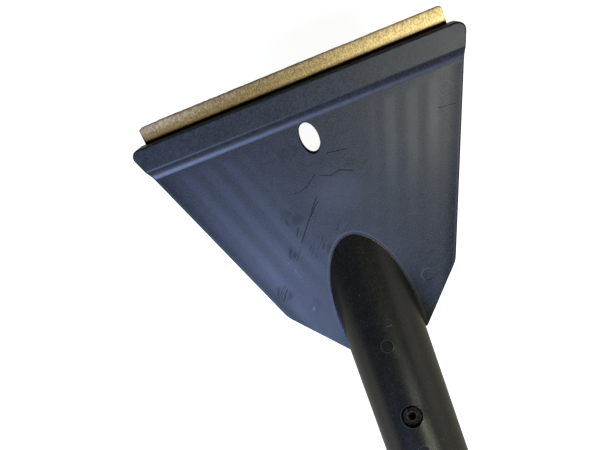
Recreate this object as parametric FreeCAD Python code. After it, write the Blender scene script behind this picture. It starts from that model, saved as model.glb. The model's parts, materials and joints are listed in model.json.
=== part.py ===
import FreeCAD, Part
import math
import os

# Windshield ice scraper: a black moulded head with a brass edge, fixed to a metal tube that carries
# a foam grip and an end cap.
#
# The head is drawn in its own axes: x across the blade, y from the socket towards the blade edge and
# z out of the concave face.  The socket and all that is on it are drawn about the tube's axis, along
# +Y, and the head is then turned up by the angle between its plate and the tube.  In the finished
# part +X is across the blade, +Y points from the grip to the head and +Z is up, with the tube level.

# ---- blade ----
BLADE_LENGTH = 100.0
BLADE_THICKNESS = 0.9
BLADE_STANDOUT = 5.8
BLADE_SEAT_DEPTH = 9.4
BLADE_CORNER_RADIUS = 1.2
BLADE_END_CLEARANCE = 0.1

# ---- heat-staked pegs of the moulding that hold the blade ----
STAKE_COUNT = 5
STAKE_PITCH = 22.0
STAKE_FROM_TOP = 4.7
STAKE_NECK_RADIUS = 1.5
STAKE_HEAD_RADIUS = 2.3
STAKE_CLEARANCE = 0.05

# ---- head plate ----
HEAD_HALF_WIDTH = 55.0
HEAD_CORNER_RADIUS = 2.5
SIDE_ANGLE = 18.8
KNEE_FROM_TOP = 72.65
KNEE_RADIUS = 9.0
LOWER_ANGLE = 38.6
HEAD_LENGTH = 92.65
HEAD_DEPTH = 5.0
SKIN_THICKNESS = 2.4
RIM_THICKNESS = 2.2
BLOCK_FROM_TOP = 11.6
FRONT_EDGE_RADIUS = 0.6

# ---- raised band along the blade, and the cove below it ----
BAND_HEIGHT = 1.54
BAND_FLAT = 7.05
BAND_SLOPE = 32.0
BAND_RIDGE_RADIUS = 1.8
BAND_COVE_RADIUS = 5.0
BAND_COVE_END_SLOPE = 6.0

# ---- hang hole ----
HOLE_FROM_TOP = 16.45
HOLE_HALF_WIDTH = 3.0
HOLE_HALF_HEIGHT = 5.2
COLLAR_THICKNESS = 1.5
COLLAR_DEPTH = 4.0

# ---- ribs on the convex side ----
RIB_TOP_HALF_SPACING = (30.7, 37.5)
RIB_LEAN = (15.6, 16.9)
RIB_THICKNESS = 1.5
RIB_DEPTH = 4.5

# ---- socket ----
TILT = 26.3
APEX_FROM_TOP = 51.15
SOCKET_RADIUS = 14.13
SOCKET_TAPER = 0.016
SOCKET_LENGTH = 104.0
SOCKET_LEAD_IN = 0.8
PARTING_STATION = 48.5
PARTING_STEP = 0.5
PARTING_SHIFT = 1.5
NOSE_TOP_STATION = -5.0
NOSE_BOTTOM_STATION = 18.0
NOSE_EDGE_RADIUS = 2.0
BORE_START = 18.0
ROOT_FILLET = 0.3

# ---- shallow marks left by the mould's ejector pins: (x, y) on the plate, stations on the socket ----
PLATE_MARKS = ((43.7, -17.15), (20.2, -73.95))
PLATE_MARK_RADIUS = 2.2
SOCKET_MARKS = (37.9, 72.7)
SOCKET_MARK_RADIUS = 2.0
MARK_DEPTH = 0.15

# ---- handle tube ----
TUBE_RADIUS = 9.5
TUBE_WALL = 1.2

# ---- blind rivet through the socket and the tube ----
RIVET_STATION = 61.2
RECESS_RADIUS = 3.5
RECESS_DEPTH = 2.0
FLANGE_RADIUS = 3.2
FLANGE_THICKNESS = 0.9
RIVET_RADIUS = 2.0
RIVET_BORE_RADIUS = 1.15
RIVET_MOUTH_RADIUS = 1.4
RIVET_MOUTH_DEPTH = 0.9
RIVET_BULB_RADIUS = 2.9
RIVET_BULB_LENGTH = 3.0
MANDREL_HEAD_RADIUS = 1.9
MANDREL_HEAD_LENGTH = 1.6
MANDREL_STUB_LENGTH = 4.2

# ---- grip and end cap ----
OVERALL_LENGTH = 330.0
GRIP_RADIUS = 16.0
GRIP_HALF_HEIGHT = 14.4
GRIP_START = 124.0
GRIP_END_RADIUS = 3.0
CAP_RADIUS = 15.0
CAP_HALF_HEIGHT = 13.4
CAP_FLANGE_THICKNESS = 6.0
CAP_EDGE_RADIUS = 2.5
CAP_PLUG_LENGTH = 16.0
CAP_PLUG_WALL = 1.8
CAP_DISH_RADIUS = 9.0
CAP_DISH_DEPTH = 0.8

EPS = 1.0
X_AXIS = FreeCAD.Vector(1, 0, 0)
Z_AXIS = FreeCAD.Vector(0, 0, 1)
ORIGIN = FreeCAD.Vector(0, 0, 0)

SIN_TILT = math.sin(math.radians(TILT))
COS_TILT = math.cos(math.radians(TILT))

# Where the top line of the socket meets the plate, in the finished axes before the last move.
APEX_Y = -APEX_FROM_TOP * COS_TILT
APEX_Z = -APEX_FROM_TOP * SIN_TILT
AXIS_Z = APEX_Z - SOCKET_RADIUS
TIP_Y = BLADE_STANDOUT * COS_TILT + HEAD_DEPTH * SIN_TILT
TAIL_Y = TIP_Y - OVERALL_LENGTH
# The part ends half its length from the origin at both ends, and lies on the flat of the grip.
SHIFT = FreeCAD.Vector(0, -(TIP_Y + TAIL_Y) / 2.0, GRIP_HALF_HEIGHT - AXIS_Z)


# Corner radii of the head's outline, from the top right corner round to the top left one.
OUTLINE_RADII = [HEAD_CORNER_RADIUS, KNEE_RADIUS, 0.0, 0.0, KNEE_RADIUS, HEAD_CORNER_RADIUS]


def vec(x, y, z=0.0):
    return FreeCAD.Vector(x, y, z)


def station_y(station):
    """Y of a station along the tube, counted from the socket's apex towards the grip."""
    return APEX_Y - station


def socket_radius(station):
    return SOCKET_RADIUS - SOCKET_TAPER * station


def grip_end():
    """Station where the tube and the grip end and the cap's flange begins."""
    return OVERALL_LENGTH - (TIP_Y - APEX_Y) - CAP_FLANGE_THICKNESS


def line_crossing(p, d, q, e):
    """Crossing of the line through p along d with the line through q along e."""
    det = d.x * e.y - d.y * e.x
    t = ((q.x - p.x) * e.y - (q.y - p.y) * e.x) / det
    return vec(p.x + d.x * t, p.y + d.y * t)


def head_corners(inset=0.0, top=0.0):
    """Corners of the head's outline, moved in by inset, with its top edge at y = -top."""
    knee_half = HEAD_HALF_WIDTH - KNEE_FROM_TOP * math.tan(math.radians(SIDE_ANGLE))
    side = vec(-math.sin(math.radians(SIDE_ANGLE)), -math.cos(math.radians(SIDE_ANGLE)))
    lower = vec(-math.sin(math.radians(LOWER_ANGLE)), -math.cos(math.radians(LOWER_ANGLE)))
    side_point = vec(HEAD_HALF_WIDTH + inset * side.y, -inset * side.x)
    lower_point = vec(knee_half + inset * lower.y, -KNEE_FROM_TOP - inset * lower.x)
    across = vec(1, 0)
    top_right = line_crossing(side_point, side, vec(0, -top), across)
    knee = line_crossing(side_point, side, lower_point, lower)
    foot = line_crossing(lower_point, lower, vec(0, -HEAD_LENGTH + inset), across)
    right = [top_right, knee, foot]
    left = [vec(-p.x, p.y) for p in reversed(right)]
    return right + left


def rounded_wire(points, radii, z):
    """Closed wire through the points, each corner rounded by its radius."""
    edges = []
    count = len(points)
    starts = []
    ends = []
    mids = []
    for i in range(count):
        before = points[i - 1] - points[i]
        after = points[(i + 1) % count] - points[i]
        before.normalize()
        after.normalize()
        half = before.getAngle(after) / 2.0
        reach = radii[i] / math.tan(half)
        middle = before + after
        middle.normalize()
        starts.append(points[i] + before * reach)
        ends.append(points[i] + after * reach)
        mids.append(points[i] + middle * (radii[i] / math.sin(half) - radii[i]))
    lift = vec(0, 0, z)
    for i in range(count):
        if radii[i] > 0:
            edges.append(Part.Arc(starts[i] + lift, mids[i] + lift, ends[i] + lift).toShape())
        following = (i + 1) % count
        edges.append(Part.LineSegment(ends[i] + lift, starts[following] + lift).toShape())
    return Part.Wire(edges)


def prism(wire, height):
    return Part.Face(wire).extrude(vec(0, 0, height))


def front_profile():
    """Solid under the front surface: raised band, sloping ridge, cove and flat plate.

    The cove meets the plate at a slight angle, which leaves a crisp line across the head.
    """
    slope = math.radians(BAND_SLOPE)
    y = -BAND_FLAT
    z = BAND_HEIGHT
    ridge_end = vec(0, y - BAND_RIDGE_RADIUS * math.sin(slope),
                    z - BAND_RIDGE_RADIUS * (1 - math.cos(slope)))
    ridge_mid = vec(0, y - BAND_RIDGE_RADIUS * math.sin(slope / 2),
                    z - BAND_RIDGE_RADIUS * (1 - math.cos(slope / 2)))
    last = math.radians(BAND_COVE_END_SLOPE)
    half = (slope + last) / 2
    cove_rise = BAND_COVE_RADIUS * (math.cos(last) - math.cos(slope))
    cove_run = BAND_COVE_RADIUS * (math.sin(slope) - math.sin(last))
    cove_start = vec(0, ridge_end.y - (ridge_end.z - cove_rise) / math.tan(slope), cove_rise)
    cove_end = vec(0, cove_start.y - cove_run, 0)
    cove_mid = vec(0, cove_end.y + BAND_COVE_RADIUS * (math.sin(half) - math.sin(last)),
                   BAND_COVE_RADIUS * (math.cos(last) - math.cos(half)))
    low = -HEAD_DEPTH - EPS
    far = -HEAD_LENGTH - EPS
    corners = [vec(0, EPS, low), vec(0, EPS, z), vec(0, y, z), ridge_end, cove_start, cove_end,
               vec(0, far, 0), vec(0, far, low)]
    edges = [Part.LineSegment(corners[0], corners[1]).toShape(),
             Part.LineSegment(corners[1], corners[2]).toShape(),
             Part.Arc(corners[2], ridge_mid, ridge_end).toShape(),
             Part.LineSegment(ridge_end, cove_start).toShape(),
             Part.Arc(cove_start, cove_mid, cove_end).toShape(),
             Part.LineSegment(cove_end, corners[6]).toShape(),
             Part.LineSegment(corners[6], corners[7]).toShape(),
             Part.LineSegment(corners[7], corners[0]).toShape()]
    width = 2 * HEAD_HALF_WIDTH + 2 * EPS
    face = Part.Face(Part.Wire(edges))
    face.translate(vec(-width / 2, 0, 0))
    return face.extrude(vec(width, 0, 0))


def on_outline(edge, corners):
    """True for an edge whose middle lies over a straight or rounded side of the outline."""
    middle = edge.valueAt((edge.FirstParameter + edge.LastParameter) / 2.0)
    inner = Part.Face(rounded_wire(corners, OUTLINE_RADII, 0.0)).makeOffset2D(-0.05)
    return not inner.isInside(vec(middle.x, middle.y), 0.01, True)


def head_shell():
    """Outline prism under the front profile, with a rounded front edge."""
    corners = head_corners()
    block = prism(rounded_wire(corners, OUTLINE_RADII, -HEAD_DEPTH), HEAD_DEPTH + 2 * BAND_HEIGHT)
    block = block.common(front_profile())
    rim_edges = []
    for edge in block.Edges:
        box = edge.BoundBox
        at_front = box.ZMin > -EPS / 10
        away_from_foot = box.YMax > -HEAD_LENGTH + EPS
        if at_front and away_from_foot and on_outline(edge, corners):
            rim_edges.append(edge)
    return block.makeFillet(FRONT_EDGE_RADIUS, rim_edges)


def back_pocket():
    """Space behind the skin, inside the rim and below the blade block."""
    corners = head_corners(RIM_THICKNESS, BLOCK_FROM_TOP)
    radii = [1.0, KNEE_RADIUS - RIM_THICKNESS, 0.0, 0.0, KNEE_RADIUS - RIM_THICKNESS, 1.0]
    depth = HEAD_DEPTH - SKIN_THICKNESS
    return prism(rounded_wire(corners, radii, -HEAD_DEPTH - EPS), depth + EPS)


def ellipse_prism(half_width, half_height, z_low, z_high):
    curve = Part.Ellipse(vec(0, -HOLE_FROM_TOP + half_height, z_low),
                         vec(half_width, -HOLE_FROM_TOP, z_low),
                         vec(0, -HOLE_FROM_TOP, z_low))
    return prism(Part.Wire(curve.toShape()), z_high - z_low)


def rib(side, half_spacing, lean):
    """One rib on the convex side, leaning in towards the socket, from the blade block down."""
    bar = Part.makeBox(RIB_THICKNESS, HEAD_LENGTH, RIB_DEPTH - SKIN_THICKNESS + EPS,
                       vec(-RIB_THICKNESS / 2, -HEAD_LENGTH, -RIB_DEPTH))
    bar.rotate(ORIGIN, Z_AXIS, -lean * side)
    bar.translate(vec(side * half_spacing, -BLOCK_FROM_TOP + EPS, 0))
    return bar


def blade_outline(clearance, y_top):
    half = BLADE_LENGTH / 2.0 + clearance
    low = -BLADE_SEAT_DEPTH - clearance
    return [vec(half, y_top), vec(half, low), vec(-half, low), vec(-half, y_top)]


def blade_seat():
    wire = rounded_wire(blade_outline(BLADE_END_CLEARANCE, EPS), [0.0] * 4, -HEAD_DEPTH - EPS)
    return prism(wire, BLADE_THICKNESS + EPS)


def stake_positions():
    first = -STAKE_PITCH * (STAKE_COUNT - 1) / 2.0
    return [vec(first + STAKE_PITCH * i, -STAKE_FROM_TOP, -HEAD_DEPTH) for i in range(STAKE_COUNT)]


def stake(position, shrink):
    return Part.makeCone(STAKE_HEAD_RADIUS - shrink, STAKE_NECK_RADIUS - shrink, BLADE_THICKNESS,
                         position)


def to_part_axes(shape):
    """Turns the head up about the blade's direction and lifts it to its place."""
    turned = shape.copy()
    turned.rotate(ORIGIN, X_AXIS, TILT)
    turned.translate(SHIFT)
    return turned


def about_tube(shape):
    """Moves a shape drawn on the tube's axis at the apex station to its place."""
    moved = shape.copy()
    moved.translate(vec(0, APEX_Y, AXIS_Z) + SHIFT)
    return moved


def tube_cone(start, end, shrink=0.0, offset_x=0.0):
    """Tapered round bar about the tube's axis between two stations."""
    return Part.makeCone(socket_radius(start) - shrink, socket_radius(end) - shrink, end - start,
                         vec(offset_x, -start, 0), vec(0, -1, 0))


def tube_bar(radius, start, end):
    return Part.makeCylinder(radius, end - start, vec(0, -start, 0), vec(0, -1, 0))


def nose_cutter():
    """Solid ahead of the slanted face that closes the front of the socket."""
    reach = 2 * SOCKET_RADIUS
    top = vec(0, -NOSE_TOP_STATION, SOCKET_RADIUS)
    bottom = vec(0, -NOSE_BOTTOM_STATION, -SOCKET_RADIUS)
    along = top - bottom
    along.normalize()
    far_top = top + along * reach
    far_bottom = bottom - along * reach
    ahead = vec(0, 3 * reach, 0)
    wire = Part.makePolygon([far_top, far_bottom, far_bottom + ahead, far_top + ahead, far_top])
    face = Part.Face(wire)
    face.translate(vec(-reach, 0, 0))
    return face.extrude(vec(2 * reach, 0, 0))


def socket_solid():
    """Outside of the socket, with its slanted nose and a small step where the mould parts.

    Ahead of the step a wider cone, shifted to -x, trims the +x flank and leaves the rest as it is.
    """
    foremost = NOSE_TOP_STATION - 2 * SOCKET_RADIUS
    front = tube_cone(foremost, PARTING_STATION).cut(nose_cutter())
    slant_edges = [e for e in front.Edges if e.BoundBox.YMin > -PARTING_STATION + EPS
                   and e.BoundBox.XLength > SOCKET_RADIUS]
    front = front.makeFillet(NOSE_EDGE_RADIUS, slant_edges)
    trim = tube_cone(foremost, PARTING_STATION, PARTING_STEP - PARTING_SHIFT, -PARTING_SHIFT)
    rear = tube_cone(PARTING_STATION, SOCKET_LENGTH)
    rear = rear.makeChamfer(SOCKET_LEAD_IN, end_edges(rear, SOCKET_LENGTH))
    return front.common(trim).fuse(rear)


def root_edges(head):
    """Curved edges where the socket leaves the plate's concave face."""
    normal = vec(0, -SIN_TILT, COS_TILT)
    found = []
    for edge in head.Edges:
        middle = edge.valueAt((edge.FirstParameter + edge.LastParameter) / 2.0)
        ends = [v.Point for v in edge.Vertexes] + [middle]
        on_face = all(abs((p - SHIFT).dot(normal)) < 1e-3 for p in ends)
        below_apex = (middle - SHIFT).y < station_y(-EPS)
        curved = edge.Curve.TypeId != "Part::GeomLine"
        if on_face and below_apex and curved and abs(middle.x) < SOCKET_RADIUS:
            found.append(edge)
    return found


def radial_cylinder(radius, z_low, z_high, station=RIVET_STATION):
    """Upright round bar through a station, about the tube's axis."""
    return Part.makeCylinder(radius, z_high - z_low, vec(0, -station, z_low), Z_AXIS)


def ejector_marks():
    """Cutters for the round marks on the concave face and along the top of the socket."""
    plate = [to_part_axes(Part.makeCylinder(PLATE_MARK_RADIUS, EPS, vec(x, y, -MARK_DEPTH)))
             for x, y in PLATE_MARKS]
    socket = [about_tube(radial_cylinder(SOCKET_MARK_RADIUS, socket_radius(station) - MARK_DEPTH,
                                         SOCKET_RADIUS + EPS, station))
              for station in SOCKET_MARKS]
    return plate + socket


def head_moulding():
    body = head_shell().cut(back_pocket())
    collar = ellipse_prism(HOLE_HALF_WIDTH + COLLAR_THICKNESS, HOLE_HALF_HEIGHT + COLLAR_THICKNESS,
                           -COLLAR_DEPTH, -SKIN_THICKNESS / 2)
    ribs = [rib(side, half_spacing, lean) for side in (-1, 1)
            for half_spacing, lean in zip(RIB_TOP_HALF_SPACING, RIB_LEAN)]
    inside = prism(rounded_wire(head_corners(RIM_THICKNESS / 2, BLOCK_FROM_TOP - EPS), [0.0] * 6,
                                -HEAD_DEPTH), HEAD_DEPTH - SKIN_THICKNESS / 2)
    ribs = [bar.common(inside) for bar in ribs]
    body = body.multiFuse([collar] + ribs)
    body = body.cut(ellipse_prism(HOLE_HALF_WIDTH, HOLE_HALF_HEIGHT, -HEAD_DEPTH - EPS, EPS))
    body = body.cut(blade_seat())
    body = body.multiFuse([stake(p, STAKE_CLEARANCE) for p in stake_positions()])
    head = to_part_axes(body).fuse(about_tube(socket_solid()))
    head = head.makeFillet(ROOT_FILLET, root_edges(head))
    bore = about_tube(tube_bar(TUBE_RADIUS, BORE_START, SOCKET_LENGTH + EPS))
    outside = socket_radius(RIVET_STATION)
    recess = about_tube(radial_cylinder(RECESS_RADIUS, outside - RECESS_DEPTH, outside + EPS))
    hole = about_tube(radial_cylinder(RIVET_RADIUS, 0.0, outside + EPS))
    head = head.cut(bore).cut(recess).cut(hole).cut(ejector_marks()).removeSplitter()
    return head


def brass_blade():
    corners = blade_outline(0.0, BLADE_STANDOUT)
    radii = [BLADE_CORNER_RADIUS, 0.0, 0.0, BLADE_CORNER_RADIUS]
    strip = prism(rounded_wire(corners, radii, -HEAD_DEPTH), BLADE_THICKNESS)
    for position in stake_positions():
        strip = strip.cut(stake(position, 0.0))
    return to_part_axes(strip)


def handle_tube():
    tube = tube_bar(TUBE_RADIUS, BORE_START, grip_end())
    tube = tube.cut(tube_bar(TUBE_RADIUS - TUBE_WALL, BORE_START - EPS, grip_end() + EPS))
    tube = tube.cut(radial_cylinder(RIVET_RADIUS, 0.0, TUBE_RADIUS + EPS))
    return about_tube(tube)


def rivet_body():
    """Hollow rivet: domed flange in the recess, shank through both walls, bulb inside the tube."""
    seat = socket_radius(RIVET_STATION) - RECESS_DEPTH
    inner = TUBE_RADIUS - TUBE_WALL
    flange = radial_cylinder(FLANGE_RADIUS, seat, seat + FLANGE_THICKNESS)
    rim = [e for e in flange.Edges if e.BoundBox.ZMin > seat + FLANGE_THICKNESS / 2]
    flange = flange.makeFillet(FLANGE_THICKNESS * 0.6, rim)
    shank = radial_cylinder(RIVET_RADIUS, inner - RIVET_BULB_LENGTH, seat + EPS / 10)
    bulb = Part.makeSphere(RIVET_BULB_RADIUS, vec(0, -RIVET_STATION, inner - RIVET_BULB_RADIUS))
    below = radial_cylinder(RIVET_BULB_RADIUS + EPS, inner - RIVET_BULB_LENGTH, inner - 0.35)
    bulb = bulb.common(below)
    body = flange.fuse(shank).fuse(bulb)
    bore = radial_cylinder(RIVET_BORE_RADIUS, inner - 2 * RIVET_BULB_RADIUS, seat + 2 * EPS)
    mouth = Part.makeCone(RIVET_BORE_RADIUS, RIVET_MOUTH_RADIUS, RIVET_MOUTH_DEPTH,
                          vec(0, -RIVET_STATION, seat + FLANGE_THICKNESS - RIVET_MOUTH_DEPTH))
    return about_tube(body.cut(bore).cut(mouth))


def rivet_mandrel():
    """Snapped pin left in the rivet: a round head under the bulb and a short stub in the bore."""
    top_of_head = TUBE_RADIUS - TUBE_WALL - RIVET_BULB_LENGTH
    head = radial_cylinder(MANDREL_HEAD_RADIUS, top_of_head - MANDREL_HEAD_LENGTH, top_of_head)
    low = [e for e in head.Edges if e.BoundBox.ZMax < top_of_head - MANDREL_HEAD_LENGTH / 2]
    head = head.makeFillet(MANDREL_HEAD_LENGTH / 3, low)
    stub = radial_cylinder(RIVET_BORE_RADIUS, top_of_head - EPS / 10,
                           top_of_head + MANDREL_STUB_LENGTH)
    return about_tube(head.fuse(stub))


def flattened_bar(radius, half_height, start, end):
    """Round bar about the tube's axis with a flat along its top and its bottom."""
    length = end - start
    slab = Part.makeBox(2 * radius + EPS, length, 2 * half_height,
                        vec(-radius - EPS / 2, -end, -half_height))
    return tube_bar(radius, start, end).common(slab)


def end_edges(shape, station):
    """Edges of the flat end face at a station."""
    return [e for e in shape.Edges
            if e.BoundBox.YLength < 1e-3 and abs(e.BoundBox.YMin + station) < 1e-3]


def grip_sleeve():
    sleeve = flattened_bar(GRIP_RADIUS, GRIP_HALF_HEIGHT, GRIP_START, grip_end())
    ends = end_edges(sleeve, GRIP_START) + end_edges(sleeve, grip_end())
    sleeve = sleeve.makeFillet(GRIP_END_RADIUS, ends)
    return about_tube(sleeve.cut(tube_bar(TUBE_RADIUS, GRIP_START - EPS, grip_end() + EPS)))


def end_cap():
    start = grip_end()
    inner = TUBE_RADIUS - TUBE_WALL
    flange = flattened_bar(CAP_RADIUS, CAP_HALF_HEIGHT, start, start + CAP_FLANGE_THICKNESS)
    flange = flange.makeFillet(CAP_EDGE_RADIUS, end_edges(flange, start + CAP_FLANGE_THICKNESS))
    plug = tube_bar(inner, start - CAP_PLUG_LENGTH, start)
    plug = plug.cut(tube_bar(inner - CAP_PLUG_WALL, start - CAP_PLUG_LENGTH - EPS, start))
    end = start + CAP_FLANGE_THICKNESS
    dish = Part.makeCone(CAP_DISH_RADIUS - CAP_DISH_DEPTH, CAP_DISH_RADIUS, CAP_DISH_DEPTH,
                         vec(0, CAP_DISH_DEPTH - end, 0), vec(0, -1, 0))
    return about_tube(flange.cut(dish).fuse(plug).removeSplitter())


PIECES = {
    "head_moulding": head_moulding,
    "brass_blade": brass_blade,
    "handle_tube": handle_tube,
    "rivet_body": rivet_body,
    "rivet_mandrel": rivet_mandrel,
    "grip_sleeve": grip_sleeve,
    "end_cap": end_cap,
}

os.makedirs("parts", exist_ok=True)
for name, make in PIECES.items():
    shape = make()
    if shape.ShapeType == "Compound" and len(shape.Solids) == 1:
        shape = shape.Solids[0]
    print(name, shape.ShapeType, len(shape.Solids), shape.isValid(), round(shape.Volume, 1))
    shape.exportStep("parts/" + name + ".step")
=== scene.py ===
import json
import math

import bmesh
import bpy
from mathutils import Matrix, Vector, noise


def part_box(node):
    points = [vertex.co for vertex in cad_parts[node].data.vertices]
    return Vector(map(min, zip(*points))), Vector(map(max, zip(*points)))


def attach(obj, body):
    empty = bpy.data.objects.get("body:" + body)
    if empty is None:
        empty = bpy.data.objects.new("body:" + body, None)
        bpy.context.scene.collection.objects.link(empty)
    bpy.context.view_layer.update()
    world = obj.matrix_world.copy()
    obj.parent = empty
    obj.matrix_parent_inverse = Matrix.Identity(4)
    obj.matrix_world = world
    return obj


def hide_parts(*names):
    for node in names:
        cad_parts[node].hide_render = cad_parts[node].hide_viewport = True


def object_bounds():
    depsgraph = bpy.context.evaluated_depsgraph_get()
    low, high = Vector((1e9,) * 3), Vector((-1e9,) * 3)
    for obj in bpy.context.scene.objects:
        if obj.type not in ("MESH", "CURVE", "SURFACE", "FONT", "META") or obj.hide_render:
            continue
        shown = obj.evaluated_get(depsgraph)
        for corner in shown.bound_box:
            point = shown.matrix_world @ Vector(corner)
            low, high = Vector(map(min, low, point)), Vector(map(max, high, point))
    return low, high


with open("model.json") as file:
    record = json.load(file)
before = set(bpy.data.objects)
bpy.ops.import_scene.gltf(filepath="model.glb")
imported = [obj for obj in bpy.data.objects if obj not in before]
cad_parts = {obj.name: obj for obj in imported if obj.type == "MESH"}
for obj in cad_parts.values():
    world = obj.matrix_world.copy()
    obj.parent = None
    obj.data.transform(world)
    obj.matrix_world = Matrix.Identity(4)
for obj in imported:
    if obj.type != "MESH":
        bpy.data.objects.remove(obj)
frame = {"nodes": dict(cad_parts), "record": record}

# The looks of a windshield ice scraper.  The moulded head, the tube, the rivet and the end cap keep
# their CAD shapes and get materials; the brass blade and the foam grip are rebuilt as finer meshes.
#
# Head axes, used below in millimetres: x across the blade, y towards the blade's edge and z out of
# the concave face, with the origin at the middle of the head's top edge, on the plate's surface.

CAD_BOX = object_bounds()
NODES = frame["nodes"]
MOUNTS = {mount["name"]: mount for mount in frame["record"]["mounts"]}

MM = 0.001
HOLE_FROM_TOP = 16.45
HOLE_DEPTH_MIDDLE = 2.0

# ---- camera, in head axes ----
CAMERA_AT = (18.26, 20.19, 183.6)
CAMERA_LOOKS_AT = (-11.88, -42.62, 0.0)
CAMERA_ROLL = 22.98
CAMERA_LENS = 35.41
SENSOR_WIDTH = 36.0
CAMERA_CLIP_START = 0.01

# Masks below run from 0 to 1.  A pair of numbers is a fade, with the mask 0 at the first and 1 at the
# second.  A middle or radius with a reach is a soft line, 1 at its middle and 0 at the reach from it.

# ---- features of the head, in head axes ----
FACE_DEPTH = (-0.9, -0.4)
PLATE_TOP = (-10.8, -11.8)
# painted shade on the step's slope, as less gloss
SLOPE_SHADE_MIDDLE = -8.0
SLOPE_SHADE_REACH = 1.3
# a painted highlight in the step's cove
COVE_HIGHLIGHT_MIDDLE = -10.0
COVE_HIGHLIGHT_REACH = 1.0
SIDE_LEAN = math.tan(math.radians(18.8))
HEAD_HALF_WIDTH = 55.0
# a painted highlight along the plate's side rims
SIDE_RIM_HIGHLIGHT_MIDDLE = 0.75
SIDE_RIM_HIGHLIGHT_REACH = 0.6
SIDE_SHADE = (5.5, 1.6)
PLATE_EJECTORS = ((43.7, -17.15, 2.25), (20.2, -73.95, 2.25))
SOCKET_EJECTOR_STATIONS = (37.9, 72.7)
SOCKET_EJECTOR_RADIUS = 2.05
EJECTOR_REACH = 0.26
SOCKET_EJECTOR_REACH = 0.24
# x minus y: only the left arc of the lower mark's painted highlight shows
LOW_EJECTOR_ARC = (94.6, 93.4)
HOLE_HALF_WIDTH = 3.0
HOLE_HALF_HEIGHT = 5.2
HOLE_WALL = (0.09, 0.04)
HOLE_WALL_DEPTH = (-0.05, -0.35)

# ---- features of the socket: distances from the tube's axis, and tube axes ----
SOCKET_SKIN = (14.55, 14.3)
SOCKET_START = (19.0, 4.0)
SOCKET_TOP = (11.0, 13.0)
# a painted highlight on the fillet round the socket
FILLET_HIGHLIGHT_RADIUS = 14.62
FILLET_HIGHLIGHT_REACH = 0.26
# painted shade beside the socket on its right, as less gloss
SOCKET_SHADE_RADIUS = (25.0, 14.6)
SOCKET_SHADE_SIDE = (1.0, 8.0)
SOCKET_SHADE_LENGTH = (-8.0, -24.0)
RIVET_STATION = 61.2
RECESS_RIM_RADIUS = 3.6
RECESS_RIM_REACH = 0.22
RECESS_RIM_SIDE = (0.6, -2.0)
RIVET_LIP_RADIUS = 1.30
RIVET_LIP_REACH = 0.26

# ---- flow streaks, fanned out on both sides of the plate: shallow grooves, with painted light and shade ----
RIPPLE_START = 27.3
RIPPLE_PITCH = 6.9
RIPPLE_FAN = 0.31
RIPPLE_TOP = -13.0
RIPPLE_WAVER = 1.6
RIPPLE_INNER = (19.5, 23.5)
RIPPLE_OUTER = (46.0, 41.5)
RIPPLE_LOW_END = (-70.0, -54.0)
RIPPLE_HIGH_END = (-11.5, -15.0)
RIPPLE_RIGHT = (4.0, 14.0)
RIPPLE_RIGHT_FADE = (-26.0, -50.0)
RIPPLE_RIGHT_LOSS = 0.75
STREAK_TURNS_GREY = (0.0, 24.0)

# ---- painted light and shade on the plate, in head axes ----
# y of the middle is after the squash
PAINTED_SHEEN_SQUASH = 1.25
PAINTED_SHEEN_MIDDLE = (2.0, -45.0)
PAINTED_SHEEN_RADIUS = (13.0, 2.0)
PAINTED_LOW_SHEEN_DOWN = (-34.0, -58.0)
PAINTED_LOW_SHEEN_ACROSS = (14.0, -6.0)
# painted shade on the lower right of the plate, as less gloss
RIGHT_LOW_SHADE_ACROSS = (10.0, 24.0)
RIGHT_LOW_SHADE_DOWN = (-28.0, -48.0)

# ---- wear of the head, in head axes: start, end and half width of each scratch ----
# Scratches on the face run down and to the left, along this direction.
DRAG_ACROSS = 0.62
DRAG_DOWN = 0.785
DARK_SCRATCHES = (
    ((-5.0, -35.2), (-15.2, -48.0), 0.30),
    ((-5.2, -36.7), (-10.0, -41.5), 0.24),
    ((-14.3, -43.1), (-16.0, -45.3), 0.26),
    ((-2.9, -28.0), (-6.0, -30.2), 0.26),
    ((-6.0, -30.2), (-8.5, -31.4), 0.26),
    ((-8.5, -31.4), (-10.8, -31.5), 0.26),
    ((-1.0, -28.8), (2.3, -30.0), 0.30),
    ((2.3, -30.0), (5.0, -29.2), 0.30),
    ((5.0, -29.2), (8.8, -30.8), 0.34),
    ((3.4, -22.7), (9.4, -23.6), 0.28),
    ((40.0, -22.0), (45.0, -22.4), 0.13),
)
LIGHT_SCRATCHES = (
    ((-22.2, -53.0), (-22.0, -53.8), 0.18),
    ((-21.1, -56.4), (-20.1, -59.6), 0.10),
    ((-20.3, -72.2), (-20.5, -72.6), 0.55),
)
# in tube axes
SOCKET_NICK = ((2.1, -32.1), (3.6, -31.9), 0.14)
# middle, half width and half height of each area
HATCHED = (
    ((-18.7, -50.4), (3.0, 3.6)),
    ((-9.8, -52.0), (4.2, 4.4)),
    ((-27.6, -63.5), (2.8, 3.4)),
    ((-19.0, -70.2), (1.8, 2.2)),
    ((-0.6, -47.4), (3.4, 2.6)),
)
SMUDGES = (
    ((-7.7, -18.2), (3.8, 2.0)),
    ((9.4, -28.0), (1.6, 1.3)),
    ((-14.5, -38.5), (4.5, 3.5)),
)

# ---- sizes of noise on the head, in mm ----
GRAIN_SIZE = 0.46
FINE_SIZE = 0.26
CLOUD_SIZE = 17.0
PATCH_SIZE = 6.0
MOTTLE_SIZE = 1.9
JITTER_SIZE = 2.6
SPECK_SIZE = 0.42

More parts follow.
